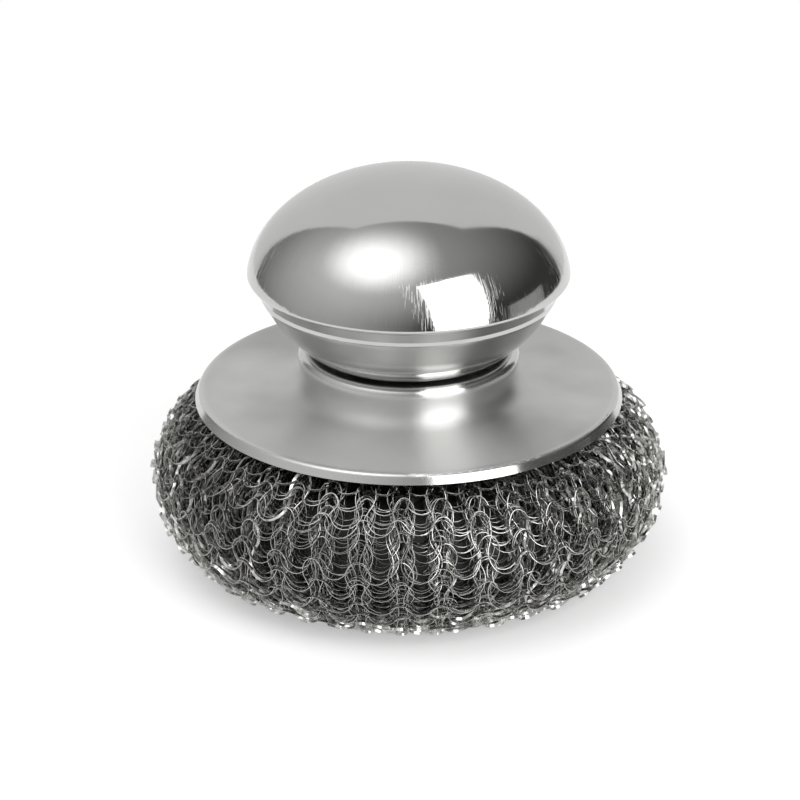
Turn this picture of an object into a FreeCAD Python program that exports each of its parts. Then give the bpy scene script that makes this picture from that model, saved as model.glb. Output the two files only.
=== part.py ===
import FreeCAD, Part
import math
import os

# Pot scrubber: a hollow steel knob is screwed down on a flared plate, and the same screw clamps a
# rolled pad of knitted steel wire under the plate. Millimetres, Z up, origin at the middle of the
# flat that the pad stands on. All pieces share the Z axis.

# Pad of knitted wire, rolled into a ring
pad_diameter = 85.0
pad_height = 28.7             # crown of the roll above the table
pad_widest_height = 14.2      # height of the widest circle
roll_half_width = 15.5        # from the widest circle in to the crown of the roll
pad_flat_depth = 0.5          # how deep the table flattens the roll
pad_bore = 6.5                # way for the screw through the knit
dimple_clearance = 1.0        # room round the clamp washer in its seat in the underside
dimple_height = 11.2          # that seat above the table, so the screw clears what is scrubbed
knit_clearance = 0.1          # room between the knit and the plate that presses it
wale_count = 40               # columns of loops round the pad
wale_turn_degrees = -1.6      # turn of the first column from the X axis
hollow_depth = 2.0            # how far the knit sinks in between two columns of loops
hollow_width_share = 0.72     # width of a hollow as a share of the columns' pitch
hollow_floor_share = 0.5      # width of its floor as a share of its width
hollow_inset = 4.0            # how far inside the roll's middle the hollows' arcs are centred

# Sheet steel of the knob and the plate
sheet = 0.6
screw_hole = 5.5

# Flared plate
rim_sink = 1.25               # how far the rim hangs below the crown of the roll
rim_diameter = 69.6
rim_depth = 1.45              # height of the turned-down rim
rim_spread = 0.75             # how far the rim leans out
fold_bend = 0.8
plate_slope_degrees = 1.5
flare_bend = 3.0
plate_rise = 6.75             # fold of the rim up to the top of the hub
neck_diameter = 36.9          # at the corner of the neck's shoulder, before it is bent
neck_shoulder_bend = 1.5
neck_tuck = 1.6               # how far the neck draws in from its shoulder to its waist

# Lower cup of the knob
foot_diameter = 18.0
foot_height = 0.6             # stand-off that leaves a dark gap above the plate
foot_bend = 0.8
cup_height = 11.8             # floor of the cup up to the seam with the dome
cup_corner_bend = 1.5
bowl_height = 4.25            # floor of the cup up to where its bowl meets the cone
bowl_slope_degrees = 46.0     # lean of the bowl away from upright
bowl_bend = 17.0
cone_slope_degrees = 31.5     # lean of the cone away from upright
bead_height = 1.35            # steeper bead between the cone and the collar
bead_step = 0.44              # how far the bead spreads over its height
bead_swell = 0.08             # how far the bead swells beyond its chord
collar_height = 1.8           # leaning collar under the seam
collar_step = 1.04            # how far the collar spreads over its height
collar_inset = 0.05           # how far the collar stands back from the rolled edge

# Upper dome of the knob
knob_diameter = 51.8
dome_rise = 16.25             # widest circle up to the crown
dome_fullness_share = 0.745   # a larger share gives a fuller shoulder
edge_lean_degrees = 8.0       # how far the dome leans in where it meets its rolled edge
edge_inner_bend = 0.1         # bend inside the rolled lower edge
lip_reach = 0.8               # how far the lip turns in under the cup's flange
hem_clearance = 0.05          # room between the lip and the flange

# Screw, nut and washers
thread_diameter = 5.0
thread_clearance = 0.05       # radial
screw_tip_projection = 2.85   # past the nut
screw_tip_chamfer = 0.5
screw_head_diameter = 9.5
screw_head_height = 3.7
screw_head_round = 2.2
cross_width = 1.2
cross_length = 5.2
cross_depth = 2.2
nut_across_flats = 8.0
nut_height = 4.7
nut_chamfer = 0.5
nut_side_count = 6
washer_hole = 5.3
lock_washer_diameter = 9.2
lock_washer_thickness = 1.2
lock_washer_slit = 0.8
lock_washer_slit_degrees = 20.0
clamp_washer_diameter = 24.0
clamp_washer_thickness = 1.2
clamp_washer_round = 0.4

# How far every cut runs past the faces that it opens
overrun = 1.0

# Radii that follow from the sizes
pad_radius = pad_diameter / 2
dimple_radius = clamp_washer_diameter / 2 + dimple_clearance
roll_radius = pad_radius - roll_half_width
rim_radius = rim_diameter / 2
fold_radius = rim_radius - rim_spread
neck_radius = neck_diameter / 2
waist_radius = neck_radius - neck_tuck
knob_radius = knob_diameter / 2
edge_roll = edge_inner_bend + sheet
edge_centre_radius = knob_radius - edge_roll
lip_radius = edge_centre_radius - lip_reach
hole_radius = screw_hole / 2
thread_radius = thread_diameter / 2

# Levels above the table, from the plate up to the crown and from the clamp down to the screw's head
rim_level = pad_height - rim_sink
fold_level = rim_level + rim_depth
hub_level = fold_level + plate_rise
cup_floor_level = hub_level + foot_height
seam_level = cup_floor_level + cup_height
lip_top = seam_level + sheet
widest_level = seam_level + edge_roll
crown_level = widest_level + dome_rise
nut_level = hub_level + sheet
nut_top = nut_level + nut_height
tip_level = nut_top + screw_tip_projection
clamp_level = dimple_height - clamp_washer_thickness
lock_level = clamp_level - lock_washer_thickness
head_level = lock_level - screw_head_height

# Shares of a run, of a half and of a quarter turn
bend_room_share = 0.95        # most of a run that the bends at its ends may take
half_share = 0.5
diagonal_share = math.cos(math.pi / 4)

upright = FreeCAD.Vector(0, 0, 1)
axis_point = FreeCAD.Vector()


def at(radius, level):
    """Point of a turned profile."""
    return FreeCAD.Vector(radius, 0, level)


def line(start, end):
    return Part.LineSegment(start, end).toShape()


def arc(start, between, end):
    return Part.Arc(start, between, end).toShape()


def polyline(points):
    return [line(start, end) for start, end in zip(points, points[1:])]


def quarter_curve(start, corner, end, fullness_share=diagonal_share):
    """Conic that rounds a corner: by default a quarter of an ellipse where the corner is square."""
    curve = Part.BSplineCurve()
    curve.buildFromPolesMultsKnots([start, corner, end], [3, 3], [0, 1], False, 2, [1, fullness_share, 1])
    return curve.toShape()


def turn(edges):
    """Solid of revolution about the Z axis from the edges of a closed profile."""
    wire = Part.Wire(Part.__sortEdges__(edges))
    return Part.Face(wire).revolve(axis_point, upright, 360)


def leftward(direction):
    """Direction turned a quarter to the left in the plane of the profile."""
    return FreeCAD.Vector(-direction.z, 0, direction.x)


def setback(path, index):
    """Distance from a corner of a path of (point, bend radius) pairs to where its bend starts."""
    corner, bend = path[index]
    enclosed = (path[index - 1][0] - corner).getAngle(path[index + 1][0] - corner)
    return bend / math.tan(enclosed / 2)


def fitted_bends(path):
    """The path with its bends made smaller where two of them need more than the run between them."""
    setbacks = [0] + [setback(path, index) for index in range(1, len(path) - 1)] + [0]
    shares = [1] * len(path)
    for index in range(len(path) - 1):
        room = path[index][0].distanceToPoint(path[index + 1][0]) * bend_room_share
        needed = max(setbacks[index] + setbacks[index + 1], room)
        for end in (index, index + 1):
            shares[end] = min(shares[end], room / needed)
    return [(point, bend * share) for (point, bend), share in zip(path, shares)]


def offset_path(path, distance):
    """The path shifted to its right by the distance, with its bends kept concentric."""
    points = [point for point, bend in path]
    directions = [(end - start).normalize() for start, end in zip(points, points[1:])]
    sides = [leftward(direction) * -distance for direction in directions]
    shifted = [(points[0] + sides[0], 0)]
    for index in range(1, len(points) - 1):
        before, after = directions[index - 1], directions[index]
        sense = 1 if leftward(before).dot(after) > 0 else -1
        reach = sense * distance * math.tan(before.getAngle(after) / 2)
        bend = max(path[index][1] + sense * distance, 0)
        shifted.append((points[index] + sides[index - 1] + before * reach, bend))
    return shifted + [(points[-1] + sides[-1], 0)]


def bent_edges(path):
    """Straight runs of a path, joined by tangent arcs at its bends."""
    edges = []
    start = path[0][0]
    for index in range(1, len(path) - 1):
        corner, bend = path[index]
        inward = (path[index - 1][0] - corner).normalize()
        onward = (path[index + 1][0] - corner).normalize()
        reach = setback(path, index)
        first, last = corner + inward * reach, corner + onward * reach
        if start.distanceToPoint(first) > 0:
            edges.append(line(start, first))
        if bend > 0:
            depth = math.hypot(bend, reach) - bend
            edges.append(arc(first, corner + (inward + onward).normalize() * depth, last))
        start = last
    return edges + [line(start, path[-1][0])]


def spun_sheet(path, thickness):
    """Sheet metal spun to a path, with its thickness laid on the right of the path."""
    upper = fitted_bends(path)
    under = offset_path(upper, thickness)
    ends = [line(upper[0][0], under[0][0]), line(upper[-1][0], under[-1][0])]
    return turn(bent_edges(upper) + bent_edges(under) + ends)


def washer(diameter, thickness, level, rim_round=0):
    """Ring with its underside at the level and its outer corners rounded."""
    rim, hole, top = diameter / 2, washer_hole / 2, level + thickness
    outside = fitted_bends([
        (at(hole, level), 0),
        (at(rim, level), rim_round),
        (at(rim, top), rim_round),
        (at(hole, top), 0),
    ])
    return turn(bent_edges(outside) + [line(at(hole, top), at(hole, level))])


def plate_path():
    """Top of the plate from its hole out: flat hub, drawn-in neck, flare, gentle cone, turned-down rim."""
    cone_rise = (fold_radius - waist_radius) * math.tan(math.radians(plate_slope_degrees))
    return [
        (at(hole_radius, hub_level), 0),
        (at(neck_radius, hub_level), neck_shoulder_bend),
        (at(waist_radius, fold_level + cone_rise), flare_bend),
        (at(fold_radius, fold_level), fold_bend),
        (at(rim_radius, rim_level), 0),
    ]


def skirt_plate():
    """Plate in one spun sheet."""
    return spun_sheet(plate_path(), sheet)


def leaning(degrees):
    """Outward direction, raised by an angle from the level."""
    return at(math.cos(math.radians(degrees)), math.sin(math.radians(degrees)))


def dome_corner(crown, side):
    """Where the level line at a crown meets the leaning line up from a side of the dome."""
    rise = crown.z - side.z
    return at(side.x - rise * math.tan(math.radians(edge_lean_degrees)), crown.z)


def knob_dome():
    """Domed shell whose lower edge rolls in under the cup's flange."""
    outer_diagonal = edge_roll * diagonal_share
    inner_diagonal = edge_inner_bend * diagonal_share
    edge_centre, outward = at(edge_centre_radius, widest_level), leaning(edge_lean_degrees)
    side, inner_side = edge_centre + outward * edge_roll, edge_centre + outward * edge_inner_bend
    crown, inner_crown = at(0, crown_level), at(0, crown_level - sheet)
    lip_start, inner_lip_start = at(edge_centre_radius, seam_level), at(edge_centre_radius, lip_top)
    roll_middle = at(edge_centre_radius + outer_diagonal, widest_level - outer_diagonal)
    inner_roll_middle = at(edge_centre_radius + inner_diagonal, widest_level - inner_diagonal)
    edges = [
        quarter_curve(crown, dome_corner(crown, side), side, dome_fullness_share),
        arc(side, roll_middle, lip_start),
        arc(inner_lip_start, inner_roll_middle, inner_side),
        quarter_curve(inner_side, dome_corner(inner_crown, inner_side), inner_crown, dome_fullness_share),
        line(inner_crown, crown),
    ]
    edges += polyline([lip_start, at(lip_radius, seam_level), at(lip_radius, lip_top), inner_lip_start])
    return turn(edges)


def bead(lower, upper):
    """Shallow swelling between two points of the cup's outside."""
    outward = leftward(upper - lower).normalize() * -bead_swell
    return arc(lower, (lower + upper) * half_share + outward, upper)


def knob_cup():
    """Bowl on a low foot, cone, bead and collar up to the seam, and a flange in the dome's lip."""
    collar_top = at(edge_centre_radius - collar_inset, seam_level - hem_clearance)
    bead_top = collar_top - at(collar_step, collar_height)
    cone_top = bead_top - at(bead_step, bead_height)
    bowl_level = cup_floor_level + bowl_height
    cone_run = (cone_top.z - bowl_level) * math.tan(math.radians(cone_slope_degrees))
    bowl_run = bowl_height * math.tan(math.radians(bowl_slope_degrees))
    bowl_top = at(cone_top.x - cone_run, bowl_level)
    foot_radius = foot_diameter / 2
    outside = fitted_bends([
        (at(hole_radius, hub_level), 0),
        (at(foot_radius, hub_level), foot_bend),
        (at(foot_radius, cup_floor_level), foot_bend),
        (at(bowl_top.x - bowl_run, cup_floor_level), cup_corner_bend),
        (bowl_top, bowl_bend),
        (cone_top, 0),
    ])
    inside = fitted_bends(offset_path(outside, -sheet))
    groove_radius = lip_radius - hem_clearance
    flange_lean = sheet * math.tan(math.radians(edge_lean_degrees))
    flange_radius = knob_radius - sheet - 2 * hem_clearance - flange_lean
    flange_level = lip_top + hem_clearance
    flange_top = flange_level + sheet
    hem = [
        collar_top,
        at(groove_radius, collar_top.z),
        at(groove_radius, flange_level),
        at(flange_radius, flange_level),
        at(flange_radius, flange_top),
        at(groove_radius - sheet, flange_top),
        at(groove_radius - sheet, collar_top.z),
        inside[-1][0],
    ]
    edges = bent_edges(outside) + [bead(cone_top, bead_top), line(bead_top, collar_top)]
    edges += polyline(hem) + bent_edges(inside) + [line(outside[0][0], inside[0][0])]
    return turn(edges)


def knob_nut():
    """Hexagon nut welded to the foot inside the cup, its corners chamfered at both ends."""
    step = 2 * math.pi / nut_side_count
    corner_radius = nut_across_flats / 2 / math.cos(step / 2)
    corners = [
        FreeCAD.Vector(corner_radius * math.cos(n * step), corner_radius * math.sin(n * step), nut_level)
        for n in range(nut_side_count + 1)
    ]
    prism = Part.Face(Part.makePolygon(corners)).extrude(at(0, nut_height))
    barrel = turn(polyline([
        at(0, nut_level),
        at(corner_radius - nut_chamfer, nut_level),
        at(corner_radius, nut_level + nut_chamfer / 2),
        at(corner_radius, nut_top - nut_chamfer / 2),
        at(corner_radius - nut_chamfer, nut_top),
        at(0, nut_top),
        at(0, nut_level),
    ]))
    bore_radius = thread_radius + thread_clearance
    bore = Part.makeCylinder(bore_radius, nut_height + 2 * overrun, at(0, nut_level - overrun))
    return prism.common(barrel).cut(bore)


def wire_pad():
    """Rolled ring with a dimple for the clamp, pressed up into the hollow of the plate."""
    bottom = at(roll_radius, -pad_flat_depth)
    side = at(pad_radius, pad_widest_height)
    crown = at(roll_radius, pad_height)
    dimple_edge = at(dimple_radius, dimple_height)
    edges = [
        quarter_curve(dimple_edge, at(dimple_edge.x, bottom.z), bottom),
        quarter_curve(bottom, at(pad_radius, bottom.z), side),
        quarter_curve(side, at(pad_radius, pad_height), crown),
    ]
    edges += polyline([
        crown,
        at(neck_radius, hub_level),
        at(pad_bore / 2, hub_level),
        at(pad_bore / 2, dimple_height),
        dimple_edge,
    ])
    table = Part.makeCylinder(pad_radius, pad_flat_depth + overrun, at(0, bottom.z - overrun))
    return turn(edges).cut([table, space_over_knit()]).cut(wale_hollows())


def wale_hollows():
    """Half rings that sink the knit between its columns of loops, and run out at the rim and the base."""
    half_width = hollow_width_share * math.pi * pad_radius / wale_count
    half_floor = half_width * hollow_floor_share
    half_mouth = 2 * half_width - half_floor
    centre = at(roll_radius - hollow_inset, pad_widest_height)
    floor_level = centre.z - (pad_radius - hollow_depth - centre.x)
    mouth_level = floor_level - 2 * hollow_depth
    section = Part.makePolygon([
        FreeCAD.Vector(centre.x, -half_floor, floor_level),
        FreeCAD.Vector(centre.x, half_floor, floor_level),
        FreeCAD.Vector(centre.x, half_mouth, mouth_level),
        FreeCAD.Vector(centre.x, -half_mouth, mouth_level),
        FreeCAD.Vector(centre.x, -half_floor, floor_level),
    ])
    ring = Part.Face(section).revolve(centre, FreeCAD.Vector(0, -1, 0), 180)
    hollows = []
    for column in range(wale_count):
        hollow = ring.copy()
        hollow.rotate(axis_point, upright, wale_turn_degrees + (column + half_share) * 360 / wale_count)
        hollows.append(hollow)
    return hollows


def space_over_knit():
    """All that lies over the plate's underside and the knit's clearance there."""
    underside = offset_path(fitted_bends(plate_path()), sheet + knit_clearance)
    inner, outer = underside[0][0], underside[-1][0]
    ceiling, clear_radius = hub_level + overrun, rim_radius + knit_clearance
    over = [
        outer,
        at(clear_radius, outer.z),
        at(clear_radius, ceiling),
        at(0, ceiling),
        at(0, inner.z),
        inner,
    ]
    return turn(bent_edges(underside) + polyline(over))


def clamp_washer():
    """Broad washer with rounded rims, which spreads the screw's pull over the knit."""
    return washer(clamp_washer_diameter, clamp_washer_thickness, clamp_level, clamp_washer_round)


def lock_washer():
    """Split spring washer, pressed flat, with its slanted slit."""
    ring = washer(lock_washer_diameter, lock_washer_thickness, lock_level)
    slit_height = lock_washer_thickness + 2 * overrun
    slit = Part.makeBox(lock_washer_diameter, lock_washer_slit, slit_height)
    slit.translate(FreeCAD.Vector(0, -lock_washer_slit / 2, -slit_height / 2))
    slit.rotate(axis_point, FreeCAD.Vector(1, 0, 0), lock_washer_slit_degrees)
    slit.translate(at(0, lock_level + lock_washer_thickness / 2))
    return ring.cut(slit)


def clamp_screw():
    """Pan-head machine screw, head down, with a crossed recess for the driver."""
    head_radius = screw_head_diameter / 2
    head = fitted_bends([
        (at(0, head_level), 0),
        (at(head_radius, head_level), screw_head_round),
        (at(head_radius, lock_level), 0),
    ])
    shank = [
        at(head_radius, lock_level),
        at(thread_radius, lock_level),
        at(thread_radius, tip_level - screw_tip_chamfer),
        at(thread_radius - screw_tip_chamfer, tip_level),
        at(0, tip_level),
        at(0, head_level),
    ]
    screw = turn(bent_edges(head) + polyline(shank))
    for angle in (0, 90):
        slot = Part.makeBox(cross_length, cross_width, cross_depth + overrun)
        slot.translate(FreeCAD.Vector(-cross_length / 2, -cross_width / 2, head_level - overrun))
        slot.rotate(axis_point, upright, angle)
        screw = screw.cut(slot)
    return screw


makers = [knob_dome, knob_cup, knob_nut, skirt_plate, wire_pad, clamp_washer, lock_washer, clamp_screw]

os.makedirs("parts", exist_ok=True)
for make in makers:
    shape = make()
    shape.exportStep("parts/" + make.__name__ + ".step")
    print(make.__name__, "solids", len(shape.Solids), "valid", shape.isValid(), "volume", round(shape.Volume, 2))
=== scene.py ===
"""Looks of a pot scrubber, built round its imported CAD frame.

The sheet steel keeps its CAD shapes and gets its finishes here. The pad is knitted from flattened wire,
the screw gets its thread and its crossed recess, and a small studio stands round them. Lengths are metres
in the CAD frame: Z up, the origin under the middle of the pad, and the front of the photograph towards -Y.
"""

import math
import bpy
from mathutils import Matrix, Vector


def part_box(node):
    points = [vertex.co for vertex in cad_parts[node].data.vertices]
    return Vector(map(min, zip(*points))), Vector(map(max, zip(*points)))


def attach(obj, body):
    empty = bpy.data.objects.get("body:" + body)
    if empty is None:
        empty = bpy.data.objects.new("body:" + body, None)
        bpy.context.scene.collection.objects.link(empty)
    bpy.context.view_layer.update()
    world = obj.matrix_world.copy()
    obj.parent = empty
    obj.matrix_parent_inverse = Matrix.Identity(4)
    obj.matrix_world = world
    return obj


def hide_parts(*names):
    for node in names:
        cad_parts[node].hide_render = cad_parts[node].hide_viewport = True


bl_info = {
    "name": "Pot Scrubber",
    "version": (1, 0, 0),
    "blender": (4, 5, 0),
    "location": "View3D > Sidebar > Scrubber",
    "description": "Knits the wire pad, finishes the steel and lights the studio of a pot scrubber",
    "category": "Object",
}

import bmesh
import bpy
import numpy as np
from mathutils import Vector

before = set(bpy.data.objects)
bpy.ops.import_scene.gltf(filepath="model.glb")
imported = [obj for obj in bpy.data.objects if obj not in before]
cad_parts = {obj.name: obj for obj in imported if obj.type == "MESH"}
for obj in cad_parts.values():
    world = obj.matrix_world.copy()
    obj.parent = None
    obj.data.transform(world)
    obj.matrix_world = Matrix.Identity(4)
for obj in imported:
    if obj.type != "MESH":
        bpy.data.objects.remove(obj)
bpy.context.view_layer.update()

MM = 0.001
TURN = 2 * math.pi


def length(name, description, millimetres):
    """Length property whose default is given in millimetres."""
    return bpy.props.FloatProperty(
        name=name, description=description, default=millimetres * MM, min=0, precision=5, unit="LENGTH"
    )


def share(name, description, default):
    """Property for a share, usually between none and all."""
    return bpy.props.FloatProperty(name=name, description=description, default=default, subtype="FACTOR")


def angle(name, description, degrees):
    """Angle property whose default is given in degrees."""
    return bpy.props.FloatProperty(
        name=name, description=description, default=math.radians(degrees), subtype="ANGLE"
    )


def count(name, description, default):
    """Whole number above zero."""
    return bpy.props.IntProperty(name=name, description=description, default=default, min=1)


def colour(name, description, default):
    """Colour property."""
    return bpy.props.FloatVectorProperty(
        name=name, description=description, default=default, size=3, min=0, max=1, subtype="COLOR"
    )


class KnitSettings(bpy.types.PropertyGroup):
    """Sizes of the rolled pad and of the loops in it."""

    roll_half_width: length("Roll half width", "From the widest circle in to the crown of the roll", 15.5)
    widest_level: length("Widest level", "Height of the widest circle above the table", 14.2)
    crown_over_rim: length("Crown over rim", "Height of the roll's crown above the plate's rim", 0.9)
    flat_depth: length("Flat depth", "How deep the table flattens the roll", 0.5)
    dimple_clearance: length("Dimple clearance", "Room round the clamp washer", 1.0)
    wale_count: count("Wales", "Columns of loops round the pad", 40)
    first_wale: angle("First wale", "Turn of the first column of heads from the X axis", -1.6)
    course_pitch: length("Course pitch", "Along the roll from one row of loops to the next", 6.4)
    loop_height: length("Loop height", "From a loop's head down to the bow beside it", 8.2)
    loop_stand: length("Loop stand", "How far heads and bows stand off their layer", 0.55)
    loop_steps: count("Loop steps", "Points along each loop", 32)
    curl_share: share("Curl", "How far the legs lean back under the heads", 0.2)
    lean_share: share("Lean", "How much narrower the heads are than the bows", 0.08)
    point_share: share("Point", "How far heads and bows are drawn out to a round end", 0.09)
    ribbon_width: length("Ribbon width", "Broad side of the flattened wire", 0.42)
    ribbon_thickness: length("Ribbon thickness", "Narrow side of the flattened wire", 0.07)
    layer_count: count("Layers", "Layers of knit that can be seen into", 13)
    layer_gap: length("Layer gap", "From one layer down to the next", 0.38)
    skin: length("Skin", "Depth of the outer layer below the pad's outline", 0.7)
    unevenness: share("Unevenness", "How irregular the loops are", 0.65)
    course_step: share("Course step", "Shift of each layer's rows against the last, in pitches", 0.4)
    flash: angle("Flash", "Twist that now and then turns the wire's flat side out", 5)
    leg_turn: angle("Leg turn", "Twist of a loop's legs, where the wire lies flat", 55)
    leg_turn_side: angle("Leg turn side", "Side of the pad with the flattest legs, from the X axis", -10)
    seed: count("Seed", "Starts the irregularities", 7)
    wire_colour: colour("Wire", "Bright wire of the outer layers", (0.68, 0.68, 0.66))
    # Painted shade: wire colour of the deep layers, darkened for the shade inside the roll
    deep_shade_colour: colour("Deep wire", "Wire in the dark of the roll", (0.2, 0.2, 0.19))
    # Painted shade: near-black colour for the shaded heart of the roll
    core_shade_colour: colour("Core", "Packed wire in the heart of the roll", (0.03, 0.03, 0.028))


class SteelSettings(bpy.types.PropertyGroup):
    """Finishes of the sheet steel and the fasteners."""

    polished_colour: colour("Polished steel", "Knob", (0.62, 0.62, 0.61))
    satin_colour: colour("Satin steel", "Plate", (0.68, 0.68, 0.67))
    fastener_colour: colour("Fastener steel", "Screw, nut and washers", (0.55, 0.55, 0.54))
    polished_roughness: share("Polished roughness", "Blur of the knob's reflections", 0.07)
    satin_roughness: share("Satin roughness", "Blur of the plate's reflections", 0.46)
    satin_grain: share("Satin grain", "How much more the plate blurs across its turning marks", 0.88)
    fastener_roughness: share("Fastener roughness", "Blur of the fasteners' reflections", 0.3)
    scratch_depth: length("Scratch depth", "Depth of the fine handling marks", 0.002)
    stroke_depth: length("Stroke depth", "Depth of the upright strokes on the knob", 0.005)
    stroke_level: length("Stroke level", "Height up to which the knob has upright strokes", 59)
    dent_depth: length("Dent depth", "Depth of the long waves left by drawing the sheet", 0.02)


class ScrewSettings(bpy.types.PropertyGroup):
    """Sizes of the screw that the CAD leaves plain."""

    thread_pitch: length("Thread pitch", "Advance of the thread in one turn", 0.8)
    thread_diameter: length("Thread diameter", "Across the crests", 5.0)
    thread_depth: length("Thread depth", "Crest down to root", 0.45)
    head_height: length("Head height", "Underside of the head up to the washer", 3.7)
    head_round: length("Head round", "Rounding of the head's rim", 1.6)
    recess_length: length("Recess length", "Across the crossed recess", 5.4)
    recess_width: length("Recess width", "Across one arm of the recess", 1.3)
    recess_depth: length("Recess depth", "Depth at the middle of the recess", 2.0)
    tip_chamfer: length("Tip chamfer", "Bevel at the screw's tip", 0.6)


class StageSettings(bpy.types.PropertyGroup):
    """Camera, floor and light."""

    camera_distance: length("Camera distance", "From the camera to the point that it looks at", 420)
    camera_elevation: angle("Camera elevation", "Height of the view above the horizon", 24.2)
    aim_level: length("Aim level", "Height of the point that the camera looks at", 27.45)
    focal_length: bpy.props.FloatProperty(
        name="Focal length", description="Lens on a 36 mm sensor", default=115.65, unit="CAMERA"
    )
    shift_x: share("Shift across", "Sideways shift of the picture", -0.0109)
    shift_y: share("Shift up", "Upward shift of the picture", -0.0112)
    floor_radius: length("Floor radius", "Reach of the floor round the object", 330)
    floor_colour: colour("Floor", "Pale floor", (0.9, 0.9, 0.9))
    floor_white: share("Floor white", "White that the floor shows even in shadow", 0.36)
    floor_mirrored: share("Floor mirrored", "White that the steel mirrors from the floor", 0.2)
    room_light: share("Room", "Dark sides of the studio", 0.05)
    fill_light: share("Fill", "Soft light from the front left", 0.52)
    ceiling_light: share("Ceiling", "Soft light from above", 0.35)
    glow_light: share("Glow", "Soft lamp high up on the left", 1.45)
    backdrop_white: share("Backdrop", "White of the panel behind the object", 0.76)
    card_white: share("Card", "White of the low card on the right", 0.36)
    window_light: share("Window", "Tall softbox on the right", 2.9)
    window_azimuth: angle("Window azimuth", "Turn of the softbox from the front towards the right", 36)
    window_elevation: angle("Window elevation", "Height of the softbox above the horizon", 22)
    window_distance: length("Window distance", "From the softbox to the point that it faces", 900)
    window_width: length("Window width", "Across the softbox", 660)
    window_height: length("Window height", "Up the softbox", 1060)


def unit(vectors):
    """Vectors scaled to length one."""
    return vectors / np.linalg.norm(vectors, axis=-1, keepdims=True)


def grid_quads(rows, columns):
    """Faces of a grid of points, row after row, whose columns close to a ring."""
    row, column = np.meshgrid(np.arange(rows - 1), np.arange(columns), indexing="ij")
    after = (column + 1) % columns
    here, above = row * columns, (row + 1) * columns
    return np.stack([here + column, here + after, above + after, above + column], axis=-1).reshape(-1, 4)


def lathe(radius, level, columns):
    """Points of a profile turned about Z: each row of radii and levels becomes a ring.

    The radius times the cosine and the sine of the angle gives X and Y, and the level gives Z. The profile
    may differ from column to column.
    """
    around = np.linspace(0, TURN, columns, endpoint=False)
    radius, level = (np.broadcast_to(part, (len(part), columns)) for part in (radius, level))
    return np.stack([radius * np.cos(around), radius * np.sin(around), level], axis=-1).reshape(-1, 3)


def new_mesh(name, points, quads, sharp_degrees=60):
    """Mesh from arrays of points and four-cornered faces, smooth apart from its sharp edges."""
    mesh = bpy.data.meshes.new(name)
    mesh.vertices.add(len(points))
    mesh.vertices.foreach_set("co", points.astype(np.float32).ravel())
    mesh.loops.add(quads.size)
    mesh.loops.foreach_set("vertex_index", quads.astype(np.int32).ravel())
    mesh.polygons.add(len(quads))
    mesh.polygons.foreach_set("loop_start", np.arange(0, quads.size, 4, dtype=np.int32))
    mesh.update(calc_edges=True)
    mesh.shade_smooth()
    mesh.set_sharp_from_angle(angle=math.radians(sharp_degrees))
    return mesh


def merge_poles(mesh):
    """Close the poles of a turned mesh, whose rings have shrunk to points there."""
    work = bmesh.new()
    work.from_mesh(mesh)
    bmesh.ops.remove_doubles(work, verts=work.verts, dist=0.001 * MM)
    work.to_mesh(mesh)
    work.free()


def new_piece(mesh, material, body, node):
    """The mesh as a piece of the object: it rides on a body and stands for a CAD node."""
    mesh.materials.append(material)
    piece = bpy.data.objects.new(mesh.name, mesh)
    bpy.context.scene.collection.objects.link(piece)
    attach(piece, body)
    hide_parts(node)
    return piece


def roll_section(knit, turn, depth):
    """Radius and level of the roll's section at a turn from its crown, drawn in by a depth.

    The section is made of quarter ellipses: crown to widest circle, widest circle to base, and base in
    and up to the dimple. The radius follows the sine of the turn and the level its cosine.
    """
    washer_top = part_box("clamp_washer")[1]
    roll_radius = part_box("wire_pad")[1].x - knit.roll_half_width
    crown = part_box("skirt_plate")[0].z + knit.crown_over_rim
    dimple_radius = washer_top.x + knit.dimple_clearance
    under, inside = turn > math.pi / 2, turn > math.pi
    centre = np.where(inside, washer_top.z, knit.widest_level)
    half_height = np.where(under, centre + knit.flat_depth, crown - centre)
    half_width = np.where(inside, roll_radius - dimple_radius, knit.roll_half_width)
    return roll_radius + (half_width - depth) * np.sin(turn), centre + (half_height - depth) * np.cos(turn)


def meridian(knit, depth):
    """Run along the roll's section from crown to dimple, with the radius, level and outward normal."""
    radius, level = roll_section(knit, np.linspace(0, 0.75 * TURN, 600), depth)
    along_r, along_z = np.gradient(radius), np.gradient(level)
    pace = np.hypot(along_r, along_z)
    run = np.concatenate([[0], np.cumsum(np.hypot(np.diff(radius), np.diff(level)))])
    return run, (radius, level, -along_z / pace, along_r / pace)


def eased(values, place):
    """Rows of values at whole places round a ring, eased from one to the next."""
    before = np.floor(place).astype(int) % values.shape[1]
    after = (before + 1) % values.shape[1]
    ease = place % 1
    ease = ease * ease * (3 - 2 * ease)
    return values[:, before] * (1 - ease) + values[:, after] * ease


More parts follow.
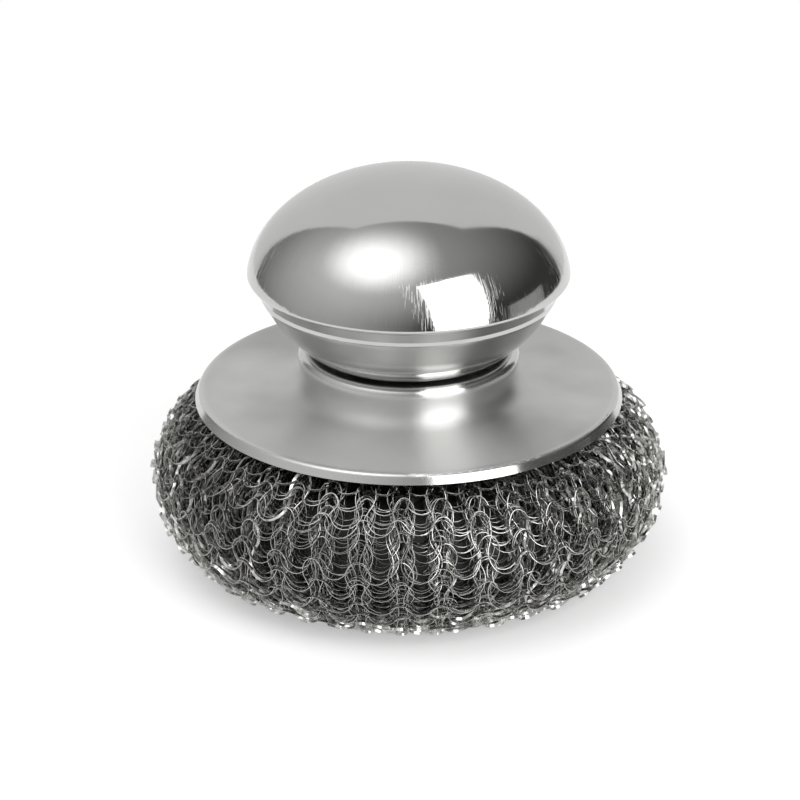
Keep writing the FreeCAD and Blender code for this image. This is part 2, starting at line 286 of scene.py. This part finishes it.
def knit_layer(knit, layer):
    """Points, faces and painted depth shade of one layer of knit.

    Each course runs round the pad and makes one loop in each wale. With t counted in wales, its angle is
    t plus sines of t and of twice t, which curl the legs back under the heads; its place along the roll is
    cosines of t and of three times t, and its stand off the layer a cosine of twice t. A flat section is
    carried along that line, with its broad side square to the layer. It is twisted a little, and more in
    the legs, by the fourth power of the sine of t, on the side of the pad where they lie flattest.
    """
    curl_noise, wale_noise, course_noise = 0.15, 0.06, 0.05
    height_noise, place_noise = 0.08, 0.4 * MM
    stand_noise, lift_noise, tone_noise = 0.4, 0.15 * MM, 0.1
    least_flat = 0.15
    table_gap, layer_lift = 0.05 * MM, 0.1 * MM
    rng = np.random.default_rng(knit.seed * 100 + layer)
    wales = np.arange(knit.wale_count * knit.loop_steps) / knit.loop_steps
    run, section = meridian(knit, knit.skin + layer * knit.layer_gap)
    first = knit.loop_height / 2 + knit.course_pitch * (layer * knit.course_step % 1)
    courses = np.arange(first, run[-1] - knit.loop_height / 2, knit.course_pitch)[:, None]
    stitches = (len(courses), knit.wale_count)

    def noise(size):
        """Uneven values of a given size, one for each stitch, eased along the course."""
        return eased(rng.normal(0, size * knit.unevenness, stitches), wales)

    beat = TURN * wales
    curl = knit.curl_share * np.sin(2 * beat) * (1 + noise(curl_noise))
    across = wales + curl - knit.lean_share * np.sin(beat)
    across = across + noise(wale_noise) + rng.normal(0, course_noise * knit.unevenness)
    around = TURN * across / knit.wale_count + knit.first_wale
    swing = np.cos(beat) + knit.point_share * np.cos(3 * beat)
    along = courses - knit.loop_height / 2 * swing * (1 + noise(height_noise)) + noise(place_noise)
    stand = knit.loop_stand * np.cos(2 * beat) * (1 + noise(stand_noise)) + noise(lift_noise)

    radius, level, normal_r, normal_z = (np.interp(along, run, values) for values in section)
    normal = np.stack([normal_r * np.cos(around), normal_r * np.sin(around), normal_z], axis=-1)
    line = np.stack([radius * np.cos(around), radius * np.sin(around), level], axis=-1)
    line = line + stand[..., None] * normal
    tangent = unit(np.roll(line, -1, axis=1) - np.roll(line, 1, axis=1))
    side = unit(np.cross(tangent, normal))
    twist = eased(knit.flash * rng.standard_t(2, stitches), wales)
    flat_share = least_flat + (1 - least_flat) * np.clip(np.cos(around - knit.leg_turn_side), 0, 1)
    twist = twist + eased(rng.normal(0, knit.leg_turn, stitches), wales) * np.sin(beat) ** 4 * flat_share
    twist = twist[..., None]
    broad = np.cross(side, tangent) * np.cos(twist) + side * np.sin(twist)
    narrow = np.cross(tangent, broad)
    broad, narrow = broad * knit.ribbon_width / 2, narrow * knit.ribbon_thickness / 2
    corners = np.stack(
        [line + broad + narrow, line - broad + narrow, line - broad - narrow, line + broad - narrow], axis=2
    )
    corners[..., 2] = np.maximum(corners[..., 2], table_gap + layer_lift * layer)

    per_course = corners.shape[1] * 4
    ring = grid_quads(corners.shape[1] + 1, 4) % per_course
    quads = ring[None] + np.arange(len(courses))[:, None, None] * per_course
    # Painted shade: the wire darkens layer by layer towards the heart, with some random tone on top
    tone = np.clip(layer / max(knit.layer_count - 1, 1) + noise(tone_noise), 0, 1)
    return corners.reshape(-1, 3), quads.reshape(-1, 4), np.repeat(tone.ravel(), 4)


def core_surface(knit, columns=96):
    """Packed heart of the roll, as a lathe: its section, drawn in below the knit and closed round the bore.

    The bore clears the screw's shank, and the heart reaches up into the plate's neck.
    """
    bore_share, neck_gap, crown_rise = 0.65, 1.2 * MM, 4 * MM
    depth = knit.skin + knit.layer_count * knit.layer_gap
    radius, level = roll_section(knit, np.linspace(0, 0.75 * TURN, 40), depth)
    bore = bore_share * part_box("clamp_screw")[1].x
    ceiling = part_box("skirt_plate")[1].z - neck_gap
    inner = radius[-1] - depth
    radius = np.concatenate([radius, [inner, bore, bore, inner, inner, radius[0]]])
    level = np.concatenate(
        [level, [level[-1], level[-1], ceiling, ceiling, level[0] + crown_rise, level[0]]]
    )
    return lathe(radius[:, None], level[:, None], columns), grid_quads(len(radius), columns)[:, ::-1]


def screw_surface(screw, columns=72):
    """The screw as one lathe, from its crossed recess over the head and up the thread to the tip.

    The head's underside sinks by the recess depth where either arm of the cross is near, eased over the
    arm's edge. The shank's radius falls from crest to root by a triangle wave of the level in pitches less
    the angle in turns, and runs out at the head and at the tip.
    """
    arm_edge, arm_ease = 1.15, 0.3
    end_ease, end_rise = 0.15, 0.45
    low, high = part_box("clamp_screw")
    head = high.x
    crest = screw.thread_diameter / 2
    seat = low.z + screw.head_height
    turn = np.linspace(0, 1, columns, endpoint=False)

    flat = np.linspace(0, head - screw.head_round, 40)[:, None]
    x, y = flat * np.cos(TURN * turn), flat * np.sin(TURN * turn)
    reach = np.minimum(np.maximum(np.abs(x), np.abs(y)) / (screw.recess_length / 2), 1)
    arm = np.minimum(np.abs(x), np.abs(y)) / (screw.recess_width / 2)
    sunk = np.clip((arm_edge - arm) / arm_ease, 0, 1) * np.clip((1 - reach) / end_ease, 0, 1)
    underside = low.z + screw.recess_depth * sunk * (1 - end_rise * reach)

    bend = np.linspace(0, TURN / 4, 10)[1:, None] + 0 * turn
    rim_radius = head - screw.head_round * (1 - np.sin(bend))
    rim_level = low.z + screw.head_round * (1 - np.cos(bend))

    steps = int(10 * (high.z - seat) / screw.thread_pitch)
    climb = np.linspace(seat, high.z, steps)[:, None] + 0 * turn
    wave = 2 * np.abs((climb / screw.thread_pitch - turn) % 1 - 0.5)
    run_out = np.clip((climb - seat) / screw.thread_pitch - 1, 0, 1)
    thread = crest - screw.thread_depth * wave * run_out
    thread = np.minimum(thread, crest - screw.tip_chamfer + high.z - climb)

    edge = np.full((1, columns), 1.0)
    radius = np.concatenate([flat + 0 * turn, rim_radius, edge * head, thread, edge * 0])
    level = np.concatenate([underside, rim_level, edge * seat, climb, edge * high.z])
    return lathe(radius, level, columns), grid_quads(len(radius), columns)


def shader_node(tree, kind, values=None, **options):
    """New node with its options set, and its sockets linked or given constants by name or number."""
    made = tree.nodes.new("ShaderNode" + kind)
    for name, value in options.items():
        setattr(made, name, value)
    for name, value in (values or {}).items():
        if isinstance(value, bpy.types.NodeSocket):
            tree.links.new(value, made.inputs[name])
        else:
            made.inputs[name].default_value = value
    return made


def math_node(tree, operation, *values):
    """Result of a sum on sockets and numbers."""
    return shader_node(tree, "Math", dict(enumerate(values)), operation=operation).outputs[0]


def ramp(tree, value, start, end, low=0.0, high=1.0, **options):
    """Value carried from the range between a start and an end to the range between low and high."""
    limits = {"From Min": start, "From Max": end, "To Min": low, "To Max": high}
    return shader_node(tree, "MapRange", {"Value": value, **limits}, **options).outputs["Result"]


def effect_group(name, inputs, output):
    """New node group with number inputs and one output: its tree, its inputs and the socket to feed."""
    tree = bpy.data.node_groups.new(name, "ShaderNodeTree")
    for socket_name, default in inputs.items():
        socket = tree.interface.new_socket(socket_name, in_out="INPUT", socket_type="NodeSocketFloat")
        socket.default_value = default
    tree.interface.new_socket(output, in_out="OUTPUT", socket_type="NodeSocketFloat")
    return tree, tree.nodes.new("NodeGroupInput").outputs, tree.nodes.new("NodeGroupOutput").inputs[output]


def effect(tree, name, values=None):
    """What an effect group puts out, placed in a material with its own values."""
    made = tree.nodes.new("ShaderNodeGroup")
    made.node_tree = bpy.data.node_groups[name]
    for socket, value in (values or {}).items():
        made.inputs[socket].default_value = value
    return made.outputs[0]


def round_place(tree):
    """Distance from the axis, and the X, Y and Z of the place on the piece."""
    place = shader_node(tree, "TexCoord").outputs["Object"]
    part = shader_node(tree, "SeparateXYZ", {"Vector": place}).outputs
    squares = [math_node(tree, "MULTIPLY", part[axis], part[axis]) for axis in "XY"]
    return math_node(tree, "SQRT", math_node(tree, "ADD", *squares)), part


def stroke_group():
    """Upright strokes on a turned piece: noise on the unit circle, drawn out along the height.

    They fade out over a few millimetres below the level.
    """
    least_radius, fade_height = 0.1 * MM, 4 * MM
    tree, given, end = effect_group(
        "upright_strokes", {"Density": 150, "Stretch": 300, "Level": 0.05}, "Height"
    )
    radius, part = round_place(tree)
    safe = math_node(tree, "MAXIMUM", radius, least_radius)
    on_circle = [math_node(tree, "DIVIDE", part[axis], safe) for axis in "XY"]
    across = [math_node(tree, "MULTIPLY", place, given["Density"]) for place in on_circle]
    upward = math_node(tree, "MULTIPLY", part["Z"], given["Stretch"])
    line = shader_node(tree, "CombineXYZ", {"X": across[0], "Y": across[1], "Z": upward}).outputs[0]
    marks = shader_node(tree, "TexNoise", {"Vector": line, "Scale": 1.0, "Detail": 2.0}).outputs["Fac"]
    full = math_node(tree, "SUBTRACT", given["Level"], fade_height)
    cut = ramp(tree, marks, 0.54, 0.74)
    low = ramp(tree, part["Z"], given["Level"], full)
    tree.links.new(math_node(tree, "MULTIPLY", cut, low), end)


def turning_group():
    """Rings left by spinning: noise read along the radius and the height alone."""
    tree, given, end = effect_group("turning_rings", {"Density": 2500}, "Height")
    radius, part = round_place(tree)
    ring = shader_node(tree, "CombineXYZ", {"X": radius, "Z": part["Z"]}).outputs[0]
    marks = shader_node(tree, "TexNoise", {"Vector": ring, "Scale": given["Density"], "Detail": 4.0})
    tree.links.new(marks.outputs["Fac"], end)


def smudge_group():
    """Patches from handling: soft noise in several sizes."""
    tree, given, end = effect_group("handling_smudges", {"Size": 90}, "Mask")
    place = shader_node(tree, "TexCoord").outputs["Object"]
    patches = shader_node(tree, "TexNoise", {"Vector": place, "Scale": given["Size"], "Detail": 5.0})
    tree.links.new(patches.outputs["Fac"], end)


def hairline_group():
    """Straight hairlines: noise drawn out along one direction and cut to its peaks, in soft patches."""
    tree, given, end = effect_group(
        "hairlines", {"Angle": 0.6, "Density": 4000, "Stretch": 90, "Amount": 0.62}, "Mask"
    )
    place = shader_node(tree, "TexCoord").outputs["Object"]
    turn = shader_node(tree, "CombineXYZ", {"Z": given["Angle"]}).outputs[0]
    squeeze = shader_node(
        tree, "CombineXYZ", {"X": given["Density"], "Y": given["Stretch"], "Z": given["Stretch"]}
    ).outputs[0]
    turned = shader_node(tree, "Mapping", {"Vector": place, "Rotation": turn}).outputs[0]
    drawn = shader_node(tree, "VectorMath", {0: turned, 1: squeeze}, operation="MULTIPLY").outputs[0]
    lines = shader_node(tree, "TexNoise", {"Vector": drawn, "Scale": 1.0, "Detail": 0.0})
    peak = math_node(tree, "ADD", given["Amount"], 0.1)
    cut = ramp(tree, lines.outputs["Fac"], given["Amount"], peak)
    patches = shader_node(tree, "TexNoise", {"Vector": place, "Scale": 110.0, "Detail": 1.0})
    patch = ramp(tree, patches.outputs["Fac"], 0.5, 0.62)
    tree.links.new(math_node(tree, "MULTIPLY", cut, patch), end)


def new_material(name):
    """Material with its tree and its shader, and nothing else linked."""
    material = bpy.data.materials.new(name)
    material.use_nodes = True
    return material, material.node_tree, material.node_tree.nodes["Principled BSDF"]


def spread(tree, value, low, high):
    """Noise, which keeps near its middle, spread between two values."""
    return ramp(tree, value, 0.3, 0.7, low, high)


def blend(tree, mask, first, second):
    """Colour between two colours by a mask."""
    mix = shader_node(tree, "Mix", {"Factor": mask}, data_type="RGBA")
    mix.inputs["A"].default_value = (*first, 1)
    mix.inputs["B"].default_value = (*second, 1)
    return mix.outputs["Result"]


def steel(name, base, roughness, smear, bumps):
    """Bare steel: colour and roughness stirred by smudges, and a bump for each effect, values and depth."""
    material, tree, shader = new_material(name)
    smudge = effect(tree, "handling_smudges")
    dull = tuple(0.94 * c for c in base)
    tree.links.new(blend(tree, spread(tree, smudge, 0, 1), base, dull), shader.inputs["Base Color"])
    tree.links.new(
        spread(tree, smudge, roughness * (1 - smear), roughness * (1 + smear)), shader.inputs["Roughness"]
    )
    shader.inputs["Metallic"].default_value = 1
    normal = {}
    for group, values, depth in bumps:
        height = effect(tree, group, values)
        bump = shader_node(tree, "Bump", {"Height": height, "Distance": depth, **normal})
        normal = {"Normal": bump.outputs["Normal"]}
    tree.links.new(normal["Normal"], shader.inputs["Normal"])
    return material


def polished_steel(finish):
    """Soft mirror of the knob: slow waves of the drawn sheet and fine upright handling marks."""
    strokes = {"Density": 190, "Stretch": 260, "Level": finish.stroke_level}
    return steel("polished_steel", finish.polished_colour, finish.polished_roughness, smear=0.5, bumps=[
        ("handling_smudges", {"Size": 60}, finish.dent_depth),
        ("upright_strokes", strokes, finish.stroke_depth),
    ])


def satin_steel(finish):
    """Spun plate: reflections drawn out across its turning marks, and patches of hairlines that cross them.

    The turned-down rim and the neck's shoulder are rubbed smoother than the rest.
    """
    smoothest = 0.4
    material = steel("satin_steel", finish.satin_colour, finish.satin_roughness, smear=0.12, bumps=[
        ("hairlines", {"Angle": 0.7}, finish.scratch_depth),
        ("hairlines", {"Angle": -0.9}, finish.scratch_depth),
    ])
    tree = material.node_tree
    shader = tree.nodes["Principled BSDF"]
    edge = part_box("skirt_plate")[1]
    radius, part = round_place(tree)
    worn = shader.inputs["Roughness"].links[0].from_socket
    for place, outer, inner in [
        (radius, 0.98 * edge.x, 0.95 * edge.x),
        (part["Z"], edge.z - 0.6 * MM, edge.z - 1.8 * MM),
    ]:
        worn = math_node(tree, "MULTIPLY", worn, ramp(tree, place, outer, inner, low=smoothest))
    tree.links.new(worn, shader.inputs["Roughness"])
    shader.inputs["Anisotropic"].default_value = finish.satin_grain
    # A quarter turn sets the longer blur across the marks
    shader.inputs["Anisotropic Rotation"].default_value = 0.25
    round_axis = shader_node(tree, "Tangent", direction_type="RADIAL", axis="Z").outputs["Tangent"]
    tree.links.new(round_axis, shader.inputs["Tangent"])
    return material


def fastener_steel(finish):
    """Machined screw, nut and washers."""
    return steel("fastener_steel", finish.fastener_colour, finish.fastener_roughness, smear=0.3, bumps=[
        ("turning_rings", {"Density": 4000}, finish.scratch_depth),
    ])


def wire_steel(knit):
    """Flattened wire: bright at the surface and darker towards the heart, by painted shade on its points.
    """
    material, tree, shader = new_material("knitted_wire")
    tone = shader_node(tree, "Attribute", attribute_name="tone").outputs["Fac"]
    # Painted shade: blends from the bright wire to the darker deep colour by the depth shade
    tree.links.new(blend(tree, tone, knit.wire_colour, knit.deep_shade_colour), shader.inputs["Base Color"])
    shader.inputs["Metallic"].default_value = 1
    smudge = effect(tree, "handling_smudges", {"Size": 700})
    tree.links.new(spread(tree, smudge, low=0.14, high=0.3), shader.inputs["Roughness"])
    return material


def shaded_packed_wire(knit):
    """Heart of the roll: near black as painted shade, with faint strands."""
    material, tree, shader = new_material("shaded_packed_wire")
    strands = effect(tree, "hairlines", {"Angle": 0.5, "Density": 1500, "Stretch": 250, "Amount": 0.5})
    strand_gain = 4
    faint = tuple(strand_gain * c for c in knit.core_shade_colour)
    # Painted shade: near black, lifted a little along the strands
    tree.links.new(blend(tree, strands, knit.core_shade_colour, faint), shader.inputs["Base Color"])
    shader.inputs["Roughness"].default_value = 0.6
    return material


def dress(material, *nodes):
    """The material on CAD nodes whose shape is right."""
    for name in nodes:
        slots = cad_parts[name].data.materials
        slots.clear()
        slots.append(material)


class SCRUBBER_OT_effects(bpy.types.Operator):
    """Build the surface effects that the finishes share"""

    bl_idname = "scrubber.effects"
    bl_label = "Surface Effects"

    def execute(self, context):
        stroke_group()
        turning_group()
        smudge_group()
        hairline_group()
        return {"FINISHED"}


class SCRUBBER_OT_knob(bpy.types.Operator):
    """Polish the dome and the cup of the knob"""

    bl_idname = "scrubber.knob"
    bl_label = "Knob"

    def execute(self, context):
        dress(polished_steel(context.scene.scrubber_steel), "knob_dome", "knob_cup")
        return {"FINISHED"}


class SCRUBBER_OT_plate(bpy.types.Operator):
    """Give the flared plate its satin finish"""

    bl_idname = "scrubber.plate"
    bl_label = "Plate"

    def execute(self, context):
        dress(satin_steel(context.scene.scrubber_steel), "skirt_plate")
        return {"FINISHED"}


class SCRUBBER_OT_fasteners(bpy.types.Operator):
    """Finish the nut and the washers, and cut the screw's thread and recess"""

    bl_idname = "scrubber.fasteners"
    bl_label = "Fasteners"

    def execute(self, context):
        material = fastener_steel(context.scene.scrubber_steel)
        dress(material, "knob_nut", "clamp_washer", "lock_washer")
        mesh = new_mesh("threaded_screw", *screw_surface(context.scene.scrubber_screw), sharp_degrees=50)
        merge_poles(mesh)
        new_piece(mesh, material, "screw", "clamp_screw")
        return {"FINISHED"}


class SCRUBBER_OT_pad(bpy.types.Operator):
    """Knit the pad, layer by layer, over its packed core, which is coloured near black as painted shade"""

    bl_idname = "scrubber.pad"
    bl_label = "Wire Pad"

    def execute(self, context):
        knit = context.scene.scrubber_knit
        wire = wire_steel(knit)
        for layer in range(knit.layer_count):
            points, quads, tone = knit_layer(knit, layer)
            mesh = new_mesh(f"knit_layer_{layer + 1}", points, quads)
            # Painted shade carried on each point of the layer
            depth_shades = mesh.attributes.new("tone", "FLOAT", "POINT")
            depth_shades.data.foreach_set("value", tone.astype(np.float32))
            new_piece(mesh, wire, "pad", "wire_pad")
        # The core blocks the view through the knit, and its near-black colour is painted shade
        mesh = new_mesh("pad_core_shade", *core_surface(knit))
        new_piece(mesh, shaded_packed_wire(knit), "pad", "wire_pad")
        return {"FINISHED"}


def studio_floor(stage):
    """Round pale floor, clear from below.

    Its matt white keeps the shadow, over an even white that the camera and mirrors see.
    """
    columns = 64
    rings = np.array([[0.0], [stage.floor_radius]])
    mesh = new_mesh("floor", lathe(rings, 0 * rings, columns), grid_quads(2, columns)[:, ::-1])
    merge_poles(mesh)
    material = bpy.data.materials.new("floor")
    material.use_nodes = True
    tree = material.node_tree
    tree.nodes.clear()
    ray = shader_node(tree, "LightPath").outputs
    mirrored = math_node(tree, "MAXIMUM", ray["Is Glossy Ray"], ray["Is Transmission Ray"])
    mirrored = math_node(tree, "MULTIPLY", mirrored, stage.floor_mirrored)
    looked_at = math_node(tree, "MULTIPLY", ray["Is Camera Ray"], stage.floor_white)
    matt = shader_node(tree, "BsdfDiffuse", {"Color": (*stage.floor_colour, 1)}).outputs[0]
    strength = math_node(tree, "MAXIMUM", looked_at, mirrored)
    even = shader_node(tree, "Emission", {"Strength": strength}).outputs[0]
    both = shader_node(tree, "AddShader", {0: matt, 1: even}).outputs[0]
    behind = shader_node(tree, "NewGeometry").outputs["Backfacing"]
    under = math_node(tree, "MULTIPLY", behind, ray["Is Camera Ray"])
    clear = shader_node(tree, "BsdfTransparent").outputs[0]
    shown = shader_node(tree, "MixShader", {0: under, 1: both, 2: clear}).outputs[0]
    tree.links.new(shown, shader_node(tree, "OutputMaterial").inputs["Surface"])
    mesh.materials.append(material)
    floor = bpy.data.objects.new("floor", mesh)
    bpy.context.scene.collection.objects.link(floor)


def towards(azimuth, elevation):
    """Direction at an azimuth in degrees from the front towards the right, and an elevation."""
    a, e = math.radians(azimuth), math.radians(elevation)
    return Vector((math.sin(a) * math.cos(e), -math.cos(a) * math.cos(e), math.sin(e)))


def lobe(tree, direction, axis, reach_degrees, power):
    """Falls from one along an axis to none at a reach, by a power of the cosine's ramp between them."""
    product = shader_node(tree, "VectorMath", {0: direction, 1: tuple(axis)}, operation="DOT_PRODUCT")
    cosine = product.outputs["Value"]
    return math_node(tree, "POWER", ramp(tree, cosine, math.cos(math.radians(reach_degrees)), 1.0), power)


def within(tree, value, edge, softness):
    """One where a value is below an edge, easing to none across it."""
    return ramp(tree, value, edge + softness, edge - softness, interpolation_type="SMOOTHSTEP")


def panel(tree, depth, across, up, half_width, low, high):
    """Mask of a flat panel square to one axis: where a direction drawn out to unit depth meets it."""
    ahead = math_node(tree, "MAXIMUM", depth, 0.001)
    sideways = math_node(tree, "ABSOLUTE", math_node(tree, "DIVIDE", across, ahead))
    upward = math_node(tree, "DIVIDE", up, ahead)
    off_middle = math_node(tree, "ABSOLUTE", math_node(tree, "SUBTRACT", upward, (low + high) / 2))
    inside = math_node(
        tree, "MULTIPLY",
        within(tree, sideways, half_width, 0.05 * half_width),
        within(tree, off_middle, (high - low) / 2, 0.02 * (high - low)),
    )
    return math_node(tree, "MULTIPLY", inside, math_node(tree, "GREATER_THAN", depth, 0.0))


def studio_world(stage):
    """Studio round the object: a dim room, three soft lights, a panel behind and a card at the right."""
    world = bpy.data.worlds.new("studio")
    bpy.context.scene.world = world
    world.use_nodes = True
    tree = world.node_tree
    tree.nodes.clear()
    direction = shader_node(tree, "TexCoord").outputs["Generated"]
    part = shader_node(tree, "SeparateXYZ", {"Vector": direction}).outputs
    lit = stage.room_light
    for axis, reach_degrees, power, strength in [
        (towards(-65, 25), 80, 1.0, stage.fill_light),
        (towards(-52, 68), 38, 2.4, stage.glow_light),
        (towards(0, 80), 80, 1.5, stage.ceiling_light),
    ]:
        shine = math_node(tree, "MULTIPLY", lobe(tree, direction, axis, reach_degrees, power), strength)
        lit = math_node(tree, "ADD", shine, lit)
    card = panel(tree, part["X"], part["Y"], part["Z"], half_width=0.3, low=-0.3, high=0.09)
    lit = math_node(tree, "MAXIMUM", lit, math_node(tree, "MULTIPLY", card, stage.card_white))
    backdrop = panel(tree, part["Y"], part["X"], part["Z"], half_width=1.03, low=-2.0, high=2.45)
    mix = shader_node(tree, "Mix", {"Factor": backdrop, "A": lit, "B": stage.backdrop_white})
    shown = mix.outputs["Result"]
    room = shader_node(tree, "Background", {"Color": shown}).outputs[0]
    white = shader_node(tree, "Background", {"Color": (1, 1, 1, 1)}).outputs[0]
    seen = shader_node(tree, "LightPath").outputs["Is Camera Ray"]
    mixed = shader_node(tree, "MixShader", {0: seen, 1: room, 2: white}).outputs[0]
    tree.links.new(mixed, shader_node(tree, "OutputWorld").inputs["Surface"])


def look_back(name, data, aim, azimuth, elevation, distance):
    """New object at a direction and a distance from the aim, turned to face it."""
    direction = towards(math.degrees(azimuth), math.degrees(elevation))
    made = bpy.data.objects.new(name, data)
    made.location = aim + direction * distance
    made.rotation_mode = "QUATERNION"
    made.rotation_quaternion = (-direction).to_track_quat("-Z", "Y")
    bpy.context.scene.collection.objects.link(made)
    return made


def window_lamp(stage, aim):
    """Tall rectangular lamp, with its power set from its area and how bright it looks."""
    lamp = bpy.data.lights.new("window", "AREA")
    lamp.shape = "RECTANGLE"
    lamp.size, lamp.size_y = stage.window_width, stage.window_height
    lamp.energy = stage.window_light * stage.window_width * stage.window_height * math.pi
    look_back("window", lamp, aim, stage.window_azimuth, stage.window_elevation, stage.window_distance)


def photo_camera(stage, aim):
    """Camera at the photograph's angle."""
    eye = bpy.data.cameras.new("camera")
    eye.lens = stage.focal_length
    eye.shift_x, eye.shift_y = stage.shift_x, stage.shift_y
    eye.clip_start = 0.01
    camera = look_back("camera", eye, aim, 0, stage.camera_elevation, stage.camera_distance)
    bpy.context.scene.camera = camera


class SCRUBBER_OT_studio(bpy.types.Operator):
    """Set up the floor, the light and the camera"""

    bl_idname = "scrubber.studio"
    bl_label = "Studio"

    def execute(self, context):
        stage = context.scene.scrubber_stage
        aim = Vector((0, 0, stage.aim_level))
        studio_floor(stage)
        studio_world(stage)
        window_lamp(stage, aim)
        photo_camera(stage, aim)
        context.scene.view_settings.view_transform = "Standard"
        return {"FINISHED"}


class SCRUBBER_PT_panel(bpy.types.Panel):
    """Lists the pieces in the sidebar"""

    bl_idname = "SCRUBBER_PT_panel"
    bl_label = "Pot Scrubber"
    bl_space_type = "VIEW_3D"
    bl_region_type = "UI"
    bl_category = "Scrubber"

    def draw(self, context):
        for operator in operators:
            self.layout.operator(operator.bl_idname)


groups = {
    "scrubber_knit": KnitSettings,
    "scrubber_steel": SteelSettings,
    "scrubber_screw": ScrewSettings,
    "scrubber_stage": StageSettings,
}
operators = [
    SCRUBBER_OT_effects,
    SCRUBBER_OT_knob,
    SCRUBBER_OT_plate,
    SCRUBBER_OT_fasteners,
    SCRUBBER_OT_pad,
    SCRUBBER_OT_studio,
]


def register():
    for kind in [*groups.values(), *operators, SCRUBBER_PT_panel]:
        bpy.utils.register_class(kind)
    for name, kind in groups.items():
        setattr(bpy.types.Scene, name, bpy.props.PointerProperty(type=kind))


def unregister():
    for name in groups:
        delattr(bpy.types.Scene, name)
    for kind in [SCRUBBER_PT_panel, *reversed(operators), *reversed(groups.values())]:
        bpy.utils.unregister_class(kind)


def main():
    """Builds everything in order."""
    register()
    bpy.ops.scrubber.effects()
    bpy.ops.scrubber.knob()
    bpy.ops.scrubber.plate()
    bpy.ops.scrubber.fasteners()
    bpy.ops.scrubber.pad()
    bpy.ops.scrubber.studio()


if __name__ == "__main__":
    main()
